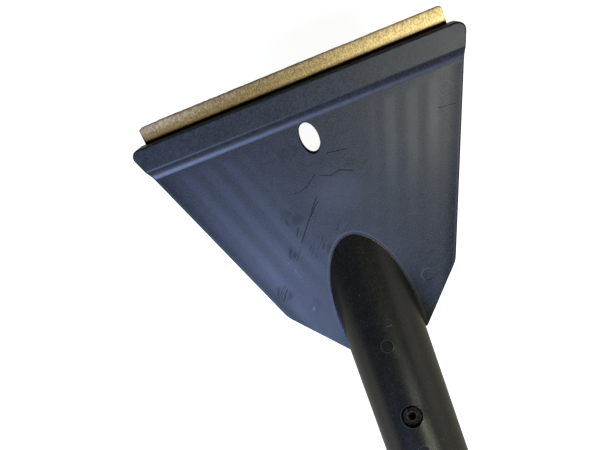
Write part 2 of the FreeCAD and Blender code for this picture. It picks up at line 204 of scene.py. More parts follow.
# ---- colours of the head ----
# The plate's colours are bluer than the socket's, though both are one moulding: a painted tint for the
# blue light on the plate.
PLATE_BLUE = (0.0095, 0.0110, 0.0150)
PLATE_DARK = (0.0060, 0.0068, 0.0090)
SOCKET_BLACK = (0.0056, 0.0050, 0.0036)
PAINTED_SHEEN = (0.055, 0.064, 0.082)
PAINTED_LOW_SHEEN = (0.055, 0.064, 0.100)
STREAK_LIGHT_BLUE = (0.060, 0.065, 0.108)
STREAK_LIGHT_GREY = (0.090, 0.096, 0.084)
COVE_HIGHLIGHT = (0.120, 0.135, 0.200)
PLATE_PALE = (0.105, 0.115, 0.145)
SOCKET_PALE = (0.118, 0.108, 0.080)
SCUFF_BLACK = (0.002, 0.002, 0.003)
MARK_RIM_HIGHLIGHT = (0.12, 0.125, 0.14)
NICK_PALE = (0.20, 0.21, 0.23)
HOLE_WALL_SHADE = (0.002, 0.002, 0.002)

# ---- gloss of the head, as specular level ----
GLOSS = 0.5
HOLE_WALL_SHADE_GLOSS_LOSS = 0.44
DULL_GLOSS_LOSS = 0.30
SOCKET_SHADE_GLOSS_LOSS = 0.20
SIDE_GLOSS_LOSS = 0.22
RIGHT_LOW_SHADE_GLOSS_LOSS = 0.07
SLOPE_SHADE_GLOSS_LOSS = 0.24
COVE_HIGHLIGHT_GLOSS_GAIN = 0.22

# ---- blade ----
BRASS_OUTER_EDGE = (3.9, 5.5)
BRASS_OUTER_RIM = (4.95, 5.30)
# painted light on the brass near its foot
BRASS_PAINTED_LIFT = (3.2, 1.5)
# painted shade and reflection of the dark plastic wall at the blade's foot
BRASS_FOOT_SHADE = (1.00, 0.68)
BRASS_LEFT = (-12.0, -44.0)
BRASS_RIGHT = (4.0, 36.0)
BRASS_MIDDLE = -6.0
BRASS_MIDDLE_SPAN = (40.0, 8.0)
BRASS_DARK = (0.41, 0.245, 0.10)
BRASS_LIGHT = (1.0, 0.73, 0.37)
# painted light at the left end of the blade
BRASS_LEFT_DARK = (0.86, 0.56, 0.27)
BRASS_LEFT_LIGHT = (1.0, 0.85, 0.56)
BRASS_RIGHT_DARK = (0.62, 0.46, 0.20)
BRASS_RIGHT_LIGHT = (0.96, 0.78, 0.44)
BRASS_TARNISH = (0.30, 0.22, 0.095)
BRASS_BROWN = (0.40, 0.29, 0.125)
BRASS_PIT = (0.13, 0.09, 0.040)
BRASS_WHITE = (1.0, 0.96, 0.88)
BRASS_WORN = (0.88, 0.78, 0.54)
BRASS_PAINTED_LIFT_COLOUR = (1.0, 0.76, 0.42)
BRASS_RIM = (0.24, 0.16, 0.07)
FOOT_SHADE_DARK = (0.055, 0.038, 0.018)
FOOT_SHADE_BROWN = (0.13, 0.085, 0.035)
TIP_WEAR = 0.28
CORNER_CHIP = 0.55
CORNER_CHIP_WIDTH = 8.0
TIP_THINNING = 0.35
WEAR_MEAN = 0.55
WEAR_FINE = 0.9
WEAR_BROAD = 0.11
EDGE_SOFTENING = 0.10
TIP_COLUMN = 0.8
TIP_ROWS = (0.25, 0.7, 1.6, 3.2)

# ---- rivet ----
RUST = (0.105, 0.044, 0.016)
# a painted highlight on the lip around the rivet's hole
LIP_HIGHLIGHT = (0.34, 0.31, 0.26)
# dark colour, light colour and share of rust
RIVET_STEEL = ((0.010, 0.009, 0.008), (0.042, 0.038, 0.034), 0.055)
MANDREL_STEEL = ((0.012, 0.011, 0.010), (0.040, 0.036, 0.032), 0.06)

# ---- stage ----
# The floor glows and the room is pale for the camera's rays.  For all other rays both are dimmer.
FLOOR_GLOW = 0.90
FLOOR_GLOW_UNSEEN = 0.34
ROOM_LIGHT = 0.05
ROOM_SEEN = 0.95
ROOM_LIGHT_COLOUR = (0.96, 0.97, 1.0, 1.0)
ROOM_SEEN_COLOUR = (1.0, 1.0, 1.0, 1.0)
FLOOR_LIGHT = (0.92, 0.92, 0.92)
FLOOR_DARK = (0.88, 0.88, 0.88)
FLOOR_UNSEEN = (0.26, 0.24, 0.16)
FLOOR_GLOW_COLOUR = (1.0, 1.0, 1.0)
FLOOR_GLOW_COLOUR_UNSEEN = (1.0, 0.96, 0.84)
FLOOR_HALF_SIZE = 4.0
# name, place, aim, size in mm, power in W, colour; places are in head axes
LIGHTS = (
    ("sky_panel", (-290, -404, 537), (0, -45, 0), (260, 260), 4.45, (0.40, 0.54, 1.0)),
    ("warm_panel", (236, -166, 645), (0, -45, 0), (200, 170), 1.98, (0.97, 1.0, 0.82)),
    ("right_panel", (600, -110, 250), (0, -90, 0), (340, 420), 0.42, (1.0, 0.98, 0.84)),
    ("left_panel", (-420, -200, 80), (0, -110, 0), (180, 240), 0.12, (1.0, 0.98, 0.88)),
)

# ---- grip ----
GRIP_TURNS = 96
GRIP_STEP = 1.6
GRIP_END_RADIUS = 3.0
GRIP_END_STEPS = 8
GRIP_DENT = 0.22
GRIP_DENT_BROAD = 11.0
GRIP_DENT_FINE = 3.5
FOAM_DARK = (0.013, 0.013, 0.014)
FOAM_LIGHT = (0.026, 0.026, 0.027)
FOAM_PORE = (0.003, 0.003, 0.003)
FOAM_SCUFF = (0.075, 0.073, 0.070)
FOAM_PORE_SIZE = 1.5
FOAM_SMALL_PORE_SIZE = 0.62

# ---- tube and end cap ----
TUBE_BRIGHT = (0.66, 0.67, 0.69)
TUBE_DULL = (0.46, 0.47, 0.49)
TUBE_SPECK = (0.25, 0.25, 0.26)
CAP_DARK = (0.013, 0.013, 0.014)
CAP_LIGHT = (0.028, 0.028, 0.030)
CAP_SCUFF = (0.105, 0.103, 0.10)
CAP_RIM = (12.6, 14.6)


# ------------------------------------------------------------------ places

def head_matrix():
    """Head axes to the row frame, from the hang hole's mount."""
    out = Vector(MOUNTS["hang_hole"]["axis"]).normalized()
    across = Vector((1, 0, 0))
    up = out.cross(across)
    origin = Vector(MOUNTS["hang_hole"]["pos_m"]) + up * HOLE_FROM_TOP * MM + out * HOLE_DEPTH_MIDDLE * MM
    turn = Matrix((across, up, out)).transposed().to_4x4()
    return Matrix.Translation(origin) @ turn @ Matrix.Scale(MM, 4)


HEAD = head_matrix()
TO_HEAD = HEAD.inverted()
TUBE_LOW, TUBE_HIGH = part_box("handle_tube")
TUBE_X = (TUBE_LOW.x + TUBE_HIGH.x) / 2
TUBE_Z = (TUBE_LOW.z + TUBE_HIGH.z) / 2
RIVET_LOW, RIVET_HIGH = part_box("rivet_body")
RIVET_Y = (RIVET_LOW.y + RIVET_HIGH.y) / 2
APEX_Y = RIVET_Y + RIVET_STATION * MM


def tube_matrix():
    """Tube axes in millimetres to the row frame: x across, y towards the head, z up, apex at y = 0."""
    return Matrix.Translation((TUBE_X, APEX_Y, TUBE_Z)) @ Matrix.Scale(MM, 4)


TUBE = tube_matrix()


def head_point(x, y, z):
    return HEAD @ Vector((x, y, z))


# ------------------------------------------------------------------ node trees

class Field:
    """One number or vector that varies over a surface, with plain arithmetic."""

    def __init__(self, net, socket):
        self.net = net
        self.socket = socket

    def __add__(self, other):
        return self.net.math("ADD", self, other)

    def __radd__(self, other):
        return self.net.math("ADD", other, self)

    def __sub__(self, other):
        return self.net.math("SUBTRACT", self, other)

    def __rsub__(self, other):
        return self.net.math("SUBTRACT", other, self)

    def __mul__(self, other):
        return self.net.math("MULTIPLY", self, other)

    def __truediv__(self, other):
        return self.net.math("DIVIDE", self, other)

    def abs(self):
        return self.net.math("ABSOLUTE", self, 0.0)

    def power(self, exponent):
        return self.net.math("POWER", self, exponent)

    def max(self, other):
        return self.net.math("MAXIMUM", self, other)

    def cos(self):
        return self.net.math("COSINE", self, 0.0)

    def rise(self, low, high):
        """0 below low, 1 above high, smooth between them.  With low above high it falls instead."""
        if low > high:
            return 1.0 - self.rise(high, low)
        node = self.net.node("ShaderNodeMapRange", interpolation_type="SMOOTHSTEP")
        self.net.join(node.inputs["Value"], self)
        node.inputs["From Min"].default_value = low
        node.inputs["From Max"].default_value = high
        return Field(self.net, node.outputs["Result"])

    def hump(self, middle, reach):
        """1 at the middle, falling smoothly to 0 at reach on each side."""
        return (self - middle).abs().rise(reach, 0.0)


class Net:
    """A material's node tree with a Principled shader, built with short calls."""

    def __init__(self, name):
        self.material = bpy.data.materials.new(name)
        self.material.use_nodes = True
        self.tree = self.material.node_tree
        self.tree.nodes.clear()
        self.shader = self.node("ShaderNodeBsdfPrincipled")
        output = self.node("ShaderNodeOutputMaterial")
        self.tree.links.new(self.shader.outputs["BSDF"], output.inputs["Surface"])

    def node(self, kind, **settings):
        made = self.tree.nodes.new(kind)
        for name, value in settings.items():
            setattr(made, name, value)
        return made

    def join(self, socket, value):
        if isinstance(value, Field):
            self.tree.links.new(value.socket, socket)
        else:
            socket.default_value = value

    def math(self, operation, a, b):
        made = self.node("ShaderNodeMath", operation=operation)
        self.join(made.inputs[0], a)
        self.join(made.inputs[1], b)
        return Field(self, made.outputs[0])

    def place(self, matrix):
        """The surface point in the axes of matrix, in its millimetres, as a vector."""
        inverse = matrix.inverted()
        coordinates = self.node("ShaderNodeTexCoord")
        mapping = self.node("ShaderNodeMapping", vector_type="POINT")
        mapping.inputs["Location"].default_value = inverse.to_translation()
        mapping.inputs["Rotation"].default_value = inverse.to_euler("XYZ")
        mapping.inputs["Scale"].default_value = inverse.to_scale()
        self.tree.links.new(coordinates.outputs["Object"], mapping.inputs["Vector"])
        return Field(self, mapping.outputs["Vector"])

    def split(self, vector):
        made = self.node("ShaderNodeSeparateXYZ")
        self.join(made.inputs["Vector"], vector)
        return [Field(self, made.outputs[i]) for i in range(3)]

    def vector(self, x, y, z):
        made = self.node("ShaderNodeCombineXYZ")
        for socket, value in zip(made.inputs, (x, y, z)):
            self.join(socket, value)
        return Field(self, made.outputs["Vector"])

    def stretch(self, vector, x, y, z):
        made = self.node("ShaderNodeVectorMath", operation="MULTIPLY")
        self.join(made.inputs[0], vector)
        made.inputs[1].default_value = (x, y, z)
        return Field(self, made.outputs["Vector"])

    def noise(self, vector, size, detail=2.0, rough=0.5, distortion=0.0):
        """Cloudy noise from 0 to 1, about 0.5, with blobs about size millimetres across."""
        made = self.node("ShaderNodeTexNoise")
        self.join(made.inputs["Vector"], vector)
        made.inputs["Scale"].default_value = 1.0 / size
        made.inputs["Detail"].default_value = detail
        made.inputs["Roughness"].default_value = rough
        made.inputs["Distortion"].default_value = distortion
        return Field(self, made.outputs["Fac"])

    def cells(self, vector, size):
        """Distance to the nearest of many scattered points, in cells of size millimetres."""
        made = self.node("ShaderNodeTexVoronoi", feature="F1")
        self.join(made.inputs["Vector"], vector)
        made.inputs["Scale"].default_value = 1.0 / size
        return Field(self, made.outputs["Distance"])

    def mix(self, share, a, b):
        """Colour a where share is 0 and b where it is 1."""
        made = self.node("ShaderNodeMix", data_type="RGBA", clamp_factor=True)
        self.join(made.inputs["Factor"], share)
        self.join(made.inputs["A"], a if isinstance(a, Field) else (*a, 1.0))
        self.join(made.inputs["B"], b if isinstance(b, Field) else (*b, 1.0))
        return Field(self, made.outputs["Result"])

    def segment(self, x, y, start, end, half_width):
        """A soft line from start to end on a plane, as a mask from 0 to 1."""
        along = Vector(end) - Vector(start)
        length = along.length
        along = along / length
        mid = (Vector(start) + Vector(end)) / 2
        far = ((x - mid.x) * along.x + (y - mid.y) * along.y).abs() - length / 2
        side = ((x - mid.x) * -along.y + (y - mid.y) * along.x).abs()
        return side.rise(half_width, 0.0) * far.rise(half_width * 2, 0.0)

    def blob(self, x, y, middle, halves):
        """A soft oval area on a plane, as a mask from 0 to 1."""
        dx = (x - middle[0]) / halves[0]
        dy = (y - middle[1]) / halves[1]
        return (dx * dx + dy * dy).rise(1.3, 0.4)

    def worst(self, masks):
        """The largest of several masks."""
        top = masks[0]
        for mask in masks[1:]:
            top = top.max(mask)
        return top

    def ring(self, x, y, centre, radius):
        """Distance to the middle of a round mark, less its radius."""
        dx = x - centre[0]
        dy = y - centre[1]
        return (dx * dx + dy * dy).power(0.5) - radius

    def finish(self, colour, roughness, height=None, **plain):
        """Colour, roughness and height in millimetres go to the shader, with other sockets set plainly."""
        self.join(self.shader.inputs["Base Color"], colour)
        self.join(self.shader.inputs["Roughness"], roughness)
        if height is not None:
            bump = self.node("ShaderNodeBump")
            bump.inputs["Strength"].default_value = 1.0
            bump.inputs["Distance"].default_value = MM
            self.join(bump.inputs["Height"], height)
            self.tree.links.new(bump.outputs["Normal"], self.shader.inputs["Normal"])
        for name, value in plain.items():
            self.shader.inputs[name.replace("_", " ")].default_value = value
        return self.material


def paint(obj, material):
    """One material for the whole object."""
    obj.data.materials.clear()
    obj.data.materials.append(material)


# ------------------------------------------------------------------ materials

class HeadPlaces:
    """Positions on the head in both sets of axes, and the masks of its main areas."""

    def __init__(self, net):
        self.place = net.place(HEAD)
        self.x, self.y, self.z = net.split(self.place)
        self.tx, self.ty, self.tz = net.split(net.place(TUBE))
        self.from_axis = (self.tx * self.tx + self.tz * self.tz).power(0.5)
        self.socket = self.from_axis.rise(*SOCKET_SKIN) * self.ty.rise(*SOCKET_START)
        self.front = self.z.rise(*FACE_DEPTH) * (1.0 - self.socket)
        self.plate = self.front * self.y.rise(*PLATE_TOP)
        self.socket_top = self.socket * self.tz.rise(*SOCKET_TOP)


def flow_streaks(at, cloud):
    """A wave across the fanned streaks, from -1 to 1, and the area that they cover."""
    fan = at.x.abs() - (at.y - RIPPLE_TOP) * RIPPLE_FAN + (cloud - 0.5) * RIPPLE_WAVER
    wave = ((fan - RIPPLE_START) * (2 * math.pi / RIPPLE_PITCH)).cos()
    across = fan.rise(*RIPPLE_INNER) * fan.rise(*RIPPLE_OUTER)
    down = at.y.rise(*RIPPLE_LOW_END) * at.y.rise(*RIPPLE_HIGH_END)
    faded = at.x.rise(*RIPPLE_RIGHT) * at.y.rise(*RIPPLE_RIGHT_FADE) * RIPPLE_RIGHT_LOSS
    return wave, across * down * (1.0 - faded)


def mark_rim_highlights(net, at):
    """Painted highlights on the rims of the ejector marks, and on the rim of the rivet's recess on its
    left.
    """
    plate_rims = [
        net.ring(at.x, at.y, (x, y), radius).hump(0.0, EJECTOR_REACH)
        for x, y, radius in PLATE_EJECTORS
    ]
    plate_rims[1] = plate_rims[1] * (at.x - at.y).rise(*LOW_EJECTOR_ARC) * 2.0
    socket_rims = [
        net.ring(at.tx, at.ty, (0.0, -station), SOCKET_EJECTOR_RADIUS).hump(0.0, SOCKET_EJECTOR_REACH)
        for station in SOCKET_EJECTOR_STATIONS
    ]
    recess = net.ring(at.tx, at.ty, (0.0, -RIVET_STATION), RECESS_RIM_RADIUS).hump(0.0, RECESS_RIM_REACH)
    recess = recess * at.tx.rise(*RECESS_RIM_SIDE)
    on_plate = (plate_rims[0] + plate_rims[1]) * at.front
    return on_plate + (socket_rims[0] + socket_rims[1] + recess) * at.socket_top


def dull_wear(net, at, along, aside, mottle, patch):
    """Dark scratches, hatched scuffs and smudges on the face."""
    jitter = net.noise(at.place, JITTER_SIZE, 3.0) * 0.5 - 0.25
    x = at.x + jitter
    y = at.y - jitter * 0.6
    scratch = net.worst([net.segment(x, y, *line) for line in DARK_SCRATCHES])
    strokes = net.noise(net.vector(along * 0.20, aside * 1.9, at.z), 1.0, 2.0, 0.5).rise(0.49, 0.60)
    hatch = net.worst([net.blob(at.x, at.y, *area) for area in HATCHED]) * strokes * patch.rise(0.34, 0.58)
    smudge = net.worst([net.blob(x, y, *area) for area in SMUDGES]) * mottle.rise(0.40, 0.60)
    return net.worst([scratch, hatch * 0.62, smudge * 0.5]) * at.front


def pale_wear(net, at):
    """Pale nicks on the face and the socket, and specks all over."""
    nicks = net.worst([net.segment(at.x, at.y, *line) for line in LIGHT_SCRATCHES]) * at.front
    socket_nick = net.segment(at.tx, at.ty, *SOCKET_NICK) * at.socket_top
    specks = (net.noise(at.place, SPECK_SIZE, 1.0, 0.5) + at.socket * 0.03).rise(0.72, 0.80)
    return net.worst([nicks * 0.6, socket_nick * 0.7, specks * 0.35])


def head_plastic():
    """Satin black polypropylene: grain, flow streaks and wear, with painted light and shade: highlights on
    the mark rims, the edges and the step's cove, sheens, a blue tint, and shade on the step's slope, the
    margins, the hole's wall and beside the socket.
    """
    net = Net("head_plastic")
    at = HeadPlaces(net)
    x, y, z = at.x, at.y, at.z
    socket, front, plate = at.socket, at.front, at.plate

    along = x * DRAG_ACROSS + y * DRAG_DOWN
    aside = x * DRAG_DOWN - y * DRAG_ACROSS
    grain = net.noise(at.place, GRAIN_SIZE, 2.0, 0.7)
    fine = net.noise(at.place, FINE_SIZE, 2.0, 0.6)
    cloud = net.noise(at.place, CLOUD_SIZE, 3.0, 0.55)
    patch = net.noise(net.stretch(at.place, 1.0, 0.6, 1.0), PATCH_SIZE, 4.0, 0.6, 0.4)
    mottle = net.noise(net.vector(along * 0.55, aside, z), MOTTLE_SIZE, 4.0, 0.65)

    wave, streaked = flow_streaks(at, cloud)
    ripple = wave * streaked * plate
    dull = dull_wear(net, at, along, aside, mottle, patch)
    slope_shade = y.hump(SLOPE_SHADE_MIDDLE, SLOPE_SHADE_REACH) * front
    cove_highlight = y.hump(COVE_HIGHLIGHT_MIDDLE, COVE_HIGHLIGHT_REACH) * front
    from_side = HEAD_HALF_WIDTH + y * SIDE_LEAN - x.abs()
    side_rim_highlight = from_side.hump(SIDE_RIM_HIGHLIGHT_MIDDLE, SIDE_RIM_HIGHLIGHT_REACH) * plate
    side_shade = from_side.rise(*SIDE_SHADE) * plate
    fillet_highlight = at.from_axis.hump(FILLET_HIGHLIGHT_RADIUS, FILLET_HIGHLIGHT_REACH) * front
    socket_shade = at.from_axis.rise(*SOCKET_SHADE_RADIUS) * at.tx.rise(*SOCKET_SHADE_SIDE) * at.ty.rise(*SOCKET_SHADE_LENGTH) * front
    painted_sheen = net.ring(x, y * PAINTED_SHEEN_SQUASH, PAINTED_SHEEN_MIDDLE, 0.0).rise(*PAINTED_SHEEN_RADIUS) * plate
    painted_low_sheen = y.rise(*PAINTED_LOW_SHEEN_DOWN) * x.rise(*PAINTED_LOW_SHEEN_ACROSS) * plate
    right_low_shade = x.rise(*RIGHT_LOW_SHADE_ACROSS) * y.rise(*RIGHT_LOW_SHADE_DOWN) * plate
    hole = net.ring(x / HOLE_HALF_WIDTH, (y + HOLE_FROM_TOP) / HOLE_HALF_HEIGHT, (0.0, 0.0), 1.0)
    hole_wall = hole.rise(*HOLE_WALL) * z.rise(*HOLE_WALL_DEPTH)

    colour = net.mix(cloud.rise(0.3, 0.7), PLATE_DARK, PLATE_BLUE)
    # a painted sheen: a soft lighter patch on the plate
    colour = net.mix(painted_sheen * 0.5, colour, PAINTED_SHEEN)
    # a painted sheen on the lower left of the plate
    colour = net.mix(painted_low_sheen * 0.10, colour, PAINTED_LOW_SHEEN)
    # painted light and shade of the flow streaks, lighter along every other band, bluer to the left and
    # greyer to the right
    streak_light = net.mix(x.rise(*STREAK_TURNS_GREY), STREAK_LIGHT_BLUE, STREAK_LIGHT_GREY)
    colour = net.mix(wave.rise(-1.0, 1.0) * streaked * plate * 0.36, colour, streak_light)
    # painted highlights along the side rims and on the fillet round the socket
    colour = net.mix(side_rim_highlight * 0.30 + fillet_highlight * 0.45, colour, PLATE_PALE)
    # a painted highlight in the step's cove
    colour = net.mix(cove_highlight * 0.33, colour, COVE_HIGHLIGHT)
    # the socket is plain black; the plate's bluer colours are a painted tint for the blue light on it
    colour = net.mix(socket, colour, SOCKET_BLACK)
    fleck = net.mix(socket, PLATE_PALE, SOCKET_PALE)
    colour = net.mix(grain.rise(0.42, 0.62) * (0.22 - socket * 0.15), colour, fleck)
    colour = net.mix(mottle.rise(0.42, 0.66) * (0.08 - socket * 0.06), colour, fleck)
    colour = net.mix(dull * 0.9, colour, SCUFF_BLACK)
    # painted highlights on the mark rims
    colour = net.mix(mark_rim_highlights(net, at) * 0.40, colour, MARK_RIM_HIGHLIGHT)
    colour = net.mix(pale_wear(net, at), colour, NICK_PALE)
    # painted shade on the hole's inner wall, which also loses its gloss
    colour = net.mix(hole_wall, colour, HOLE_WALL_SHADE)

    # painted shade on the hole's wall and beside the socket, as less gloss, and duller wear
    gloss = GLOSS - hole_wall * HOLE_WALL_SHADE_GLOSS_LOSS - dull * DULL_GLOSS_LOSS - socket_shade * SOCKET_SHADE_GLOSS_LOSS
    # painted shade along the margins and on the lower right, as less gloss
    gloss = gloss - side_shade * SIDE_GLOSS_LOSS - right_low_shade * RIGHT_LOW_SHADE_GLOSS_LOSS
    # painted shade on the step's slope and a painted highlight in its cove, as gloss
    gloss = gloss - slope_shade * SLOPE_SHADE_GLOSS_LOSS + cove_highlight * COVE_HIGHLIGHT_GLOSS_GAIN
    net.join(net.shader.inputs["Specular IOR Level"], gloss)

    speckle = (grain - 0.5) * 0.12 + (mottle - 0.5) * 0.12
    roughness = 0.42 - socket * 0.07 + speckle + (patch - 0.5) * 0.10 - ripple * 0.02
    roughness = roughness + dull * 0.10 + hole_wall * 0.4
    height = grain * 0.022 + fine * 0.010 + mottle * 0.012 + ripple * 0.008 - dull * 0.015
    return net.finish(colour, roughness, height)


def blade_brass():
    """Worn brass: speckled tarnish, painted lighter and whitish at the left, gold at the right, painted
    light near the foot, painted shade and reflection of the plastic at the foot, and a dark outer rim.
    """
    net = Net("blade_brass")
    place = net.place(HEAD)
    x, y, z = net.split(place)
    speckle = net.noise(net.stretch(place, 1.0, 0.62, 1.0), 0.50, 4.0, 0.7)
    coarse = net.noise(net.stretch(place, 1.0, 0.7, 1.0), 1.5, 3.0, 0.6)
    pits = net.noise(place, 0.38, 2.0, 0.6)
    tarnish = net.noise(place, 7.0, 4.0, 0.6, 0.6)
    edge = y.rise(*BRASS_OUTER_EDGE)
    left = x.rise(*BRASS_LEFT)
    right = x.rise(*BRASS_RIGHT)
    middle = (x - BRASS_MIDDLE).abs().rise(*BRASS_MIDDLE_SPAN)
    foot_shade = y.rise(*BRASS_FOOT_SHADE)
    painted_lift = y.rise(*BRASS_PAINTED_LIFT) * (0.45 + speckle.rise(0.40, 0.58) * 0.55)

    spots = speckle.rise(0.38, 0.62)
    left_painted_light = net.mix(spots, BRASS_LEFT_DARK, BRASS_LEFT_LIGHT)
    right_colour = net.mix(spots, BRASS_RIGHT_DARK, BRASS_RIGHT_LIGHT)
    colour = net.mix(speckle.rise(0.36, 0.64), BRASS_DARK, BRASS_LIGHT)
    # painted light at the left end
    colour = net.mix(left * 0.75, colour, left_painted_light)
    colour = net.mix(right * 0.50, colour, right_colour)
    colour = net.mix(middle * (0.20 + tarnish * 0.4), colour, BRASS_TARNISH)
    colour = net.mix(coarse.rise(0.50, 0.70) * 0.35, colour, BRASS_BROWN)
    # fewer dark pits and whitish specks at the left end, part of its painted light
    colour = net.mix(pits.rise(0.58, 0.70) * (0.6 - left * 0.3), colour, BRASS_PIT)
    colour = net.mix(left * coarse.rise(0.48, 0.62) * speckle.rise(0.52, 0.64), colour, BRASS_WHITE)
    colour = net.mix(edge * speckle.rise(0.45, 0.65) * 0.45, colour, BRASS_WORN)
    # painted light near the foot, more at the left end
    colour = net.mix(painted_lift * (0.60 + left * 0.35), colour, BRASS_PAINTED_LIFT_COLOUR)
    colour = net.mix(y.rise(*BRASS_OUTER_RIM) * 0.55, colour, BRASS_RIM)
    # painted shade and reflection of the dark plastic wall at the foot
    colour = net.mix(foot_shade, colour, net.mix(coarse, FOOT_SHADE_DARK, FOOT_SHADE_BROWN))

    roughness = 0.42 + (speckle - 0.5) * 0.30 + tarnish * 0.08 + foot_shade * 0.20 + left * 0.05
    height = speckle * 0.020 + coarse * 0.020 + pits * 0.012
    return net.finish(colour, roughness, height, Metallic=1.0)


def drawn_aluminium():
    """Drawn tube: fine lines along the axis, a few scuffs and dull patches."""
    net = Net("tube_aluminium")
    place = net.place(TUBE)
    lines = net.noise(net.stretch(place, 3.0, 0.03, 3.0), 1.0, 3.0, 0.7)
    dull = net.noise(place, 9.0, 4.0, 0.6, 0.5)
    specks = net.noise(place, 0.5, 2.0, 0.6)
    colour = net.mix(dull.rise(0.35, 0.7), TUBE_BRIGHT, TUBE_DULL)
    colour = net.mix(specks.rise(0.66, 0.74) * 0.5, colour, TUBE_SPECK)
    roughness = 0.26 + lines * 0.16 + dull * 0.12
    height = lines * 0.012 + specks * 0.004
    return net.finish(colour, roughness, height, Metallic=1.0)


def rusty_steel(name, dark, light, rust_share):
    """Blackened steel with specks of rust, and a painted highlight on the lip around the rivet's hole."""
    net = Net(name)
    place = net.place(TUBE)
    x, y, z = net.split(place)
    cloud = net.noise(place, 1.6, 4.0, 0.65)
    rust = net.noise(place, 0.8, 5.0, 0.7, 0.5)
    colour = net.mix(cloud.rise(0.35, 0.65), dark, light)
    rusty = rust.rise(0.60 - rust_share, 0.72 - rust_share)
    lip_highlight = net.ring(x, y, (0.0, -RIVET_STATION), RIVET_LIP_RADIUS).hump(0.0, RIVET_LIP_REACH)
    colour = net.mix(rusty, colour, RUST)
    # a painted highlight on the lip around the hole
    colour = net.mix(lip_highlight * 0.7, colour, LIP_HIGHLIGHT)
    roughness = 0.34 + cloud * 0.2 + rusty * 0.3
    net.join(net.shader.inputs["Metallic"], 1.0 - rusty * 0.8)
    return net.finish(colour, roughness, cloud * 0.03 + rusty * 0.04)


def foam_rubber():
    """Closed-cell foam: a skin of fine pores, soft mottling and scuffed lighter spots."""
    net = Net("grip_foam")
    place = net.place(TUBE)
    pores = net.cells(place, FOAM_PORE_SIZE)
    small = net.cells(place, FOAM_SMALL_PORE_SIZE)
    mottle = net.noise(place, 3.0, 4.0, 0.65)
    scuff = net.noise(net.stretch(place, 1.0, 0.5, 1.0), 5.0, 5.0, 0.7, 0.8)
    pit = pores.rise(0.36, 0.06) * 0.7 + small.rise(0.32, 0.06) * 0.45
    colour = net.mix(mottle.rise(0.35, 0.65), FOAM_DARK, FOAM_LIGHT)
    colour = net.mix(pit, colour, FOAM_PORE)
    colour = net.mix(scuff.rise(0.60, 0.76) * 0.35, colour, FOAM_SCUFF)
    roughness = 0.80 + mottle * 0.14
    height = pit * -0.16 + mottle * 0.12
    return net.finish(colour, roughness, height, Specular_IOR_Level=0.3)


def cap_plastic():
    """Moulded black end cap: grain, and scuffs that are heavier at the rim."""
    net = Net("cap_plastic")
    place = net.place(TUBE)
    x, y, z = net.split(place)
    grain = net.noise(place, 0.5, 3.0, 0.6)
    scuff = net.noise(place, 2.2, 5.0, 0.7, 0.6)
    rim = (x * x + z * z).power(0.5).rise(*CAP_RIM)
    colour = net.mix(grain.rise(0.4, 0.7), CAP_DARK, CAP_LIGHT)
    colour = net.mix(scuff.rise(0.55, 0.70) * (0.25 + rim * 0.45), colour, CAP_SCUFF)
    roughness = 0.44 + grain * 0.12 + scuff * 0.08
    return net.finish(colour, roughness, grain * 0.025 + scuff * 0.02)


def pale_floor():
    """Pale paper that glows.  To all rays but the camera's it is a dim, warm grey."""
    net = Net("floor_paper")
    place = net.place(HEAD)
    fibre = net.noise(place, 1.2, 4.0, 0.6)
    rays = net.node("ShaderNodeLightPath")
    seen = Field(net, rays.outputs["Is Camera Ray"])
    colour = net.mix(fibre, FLOOR_DARK, FLOOR_LIGHT)
    colour = net.mix(seen, FLOOR_UNSEEN, colour)
    glow_colour = net.mix(seen, FLOOR_GLOW_COLOUR_UNSEEN, FLOOR_GLOW_COLOUR)
    glow = seen * (FLOOR_GLOW - FLOOR_GLOW_UNSEEN) + FLOOR_GLOW_UNSEEN
    net.join(net.shader.inputs["Emission Color"], glow_colour)
    net.join(net.shader.inputs["Emission Strength"], glow)
    return net.finish(colour, 0.9, fibre * 0.01)


# ------------------------------------------------------------------ pieces

def new_piece(name, mesh):
    obj = bpy.data.objects.new(name, mesh)
    bpy.context.scene.collection.objects.link(obj)
    return obj


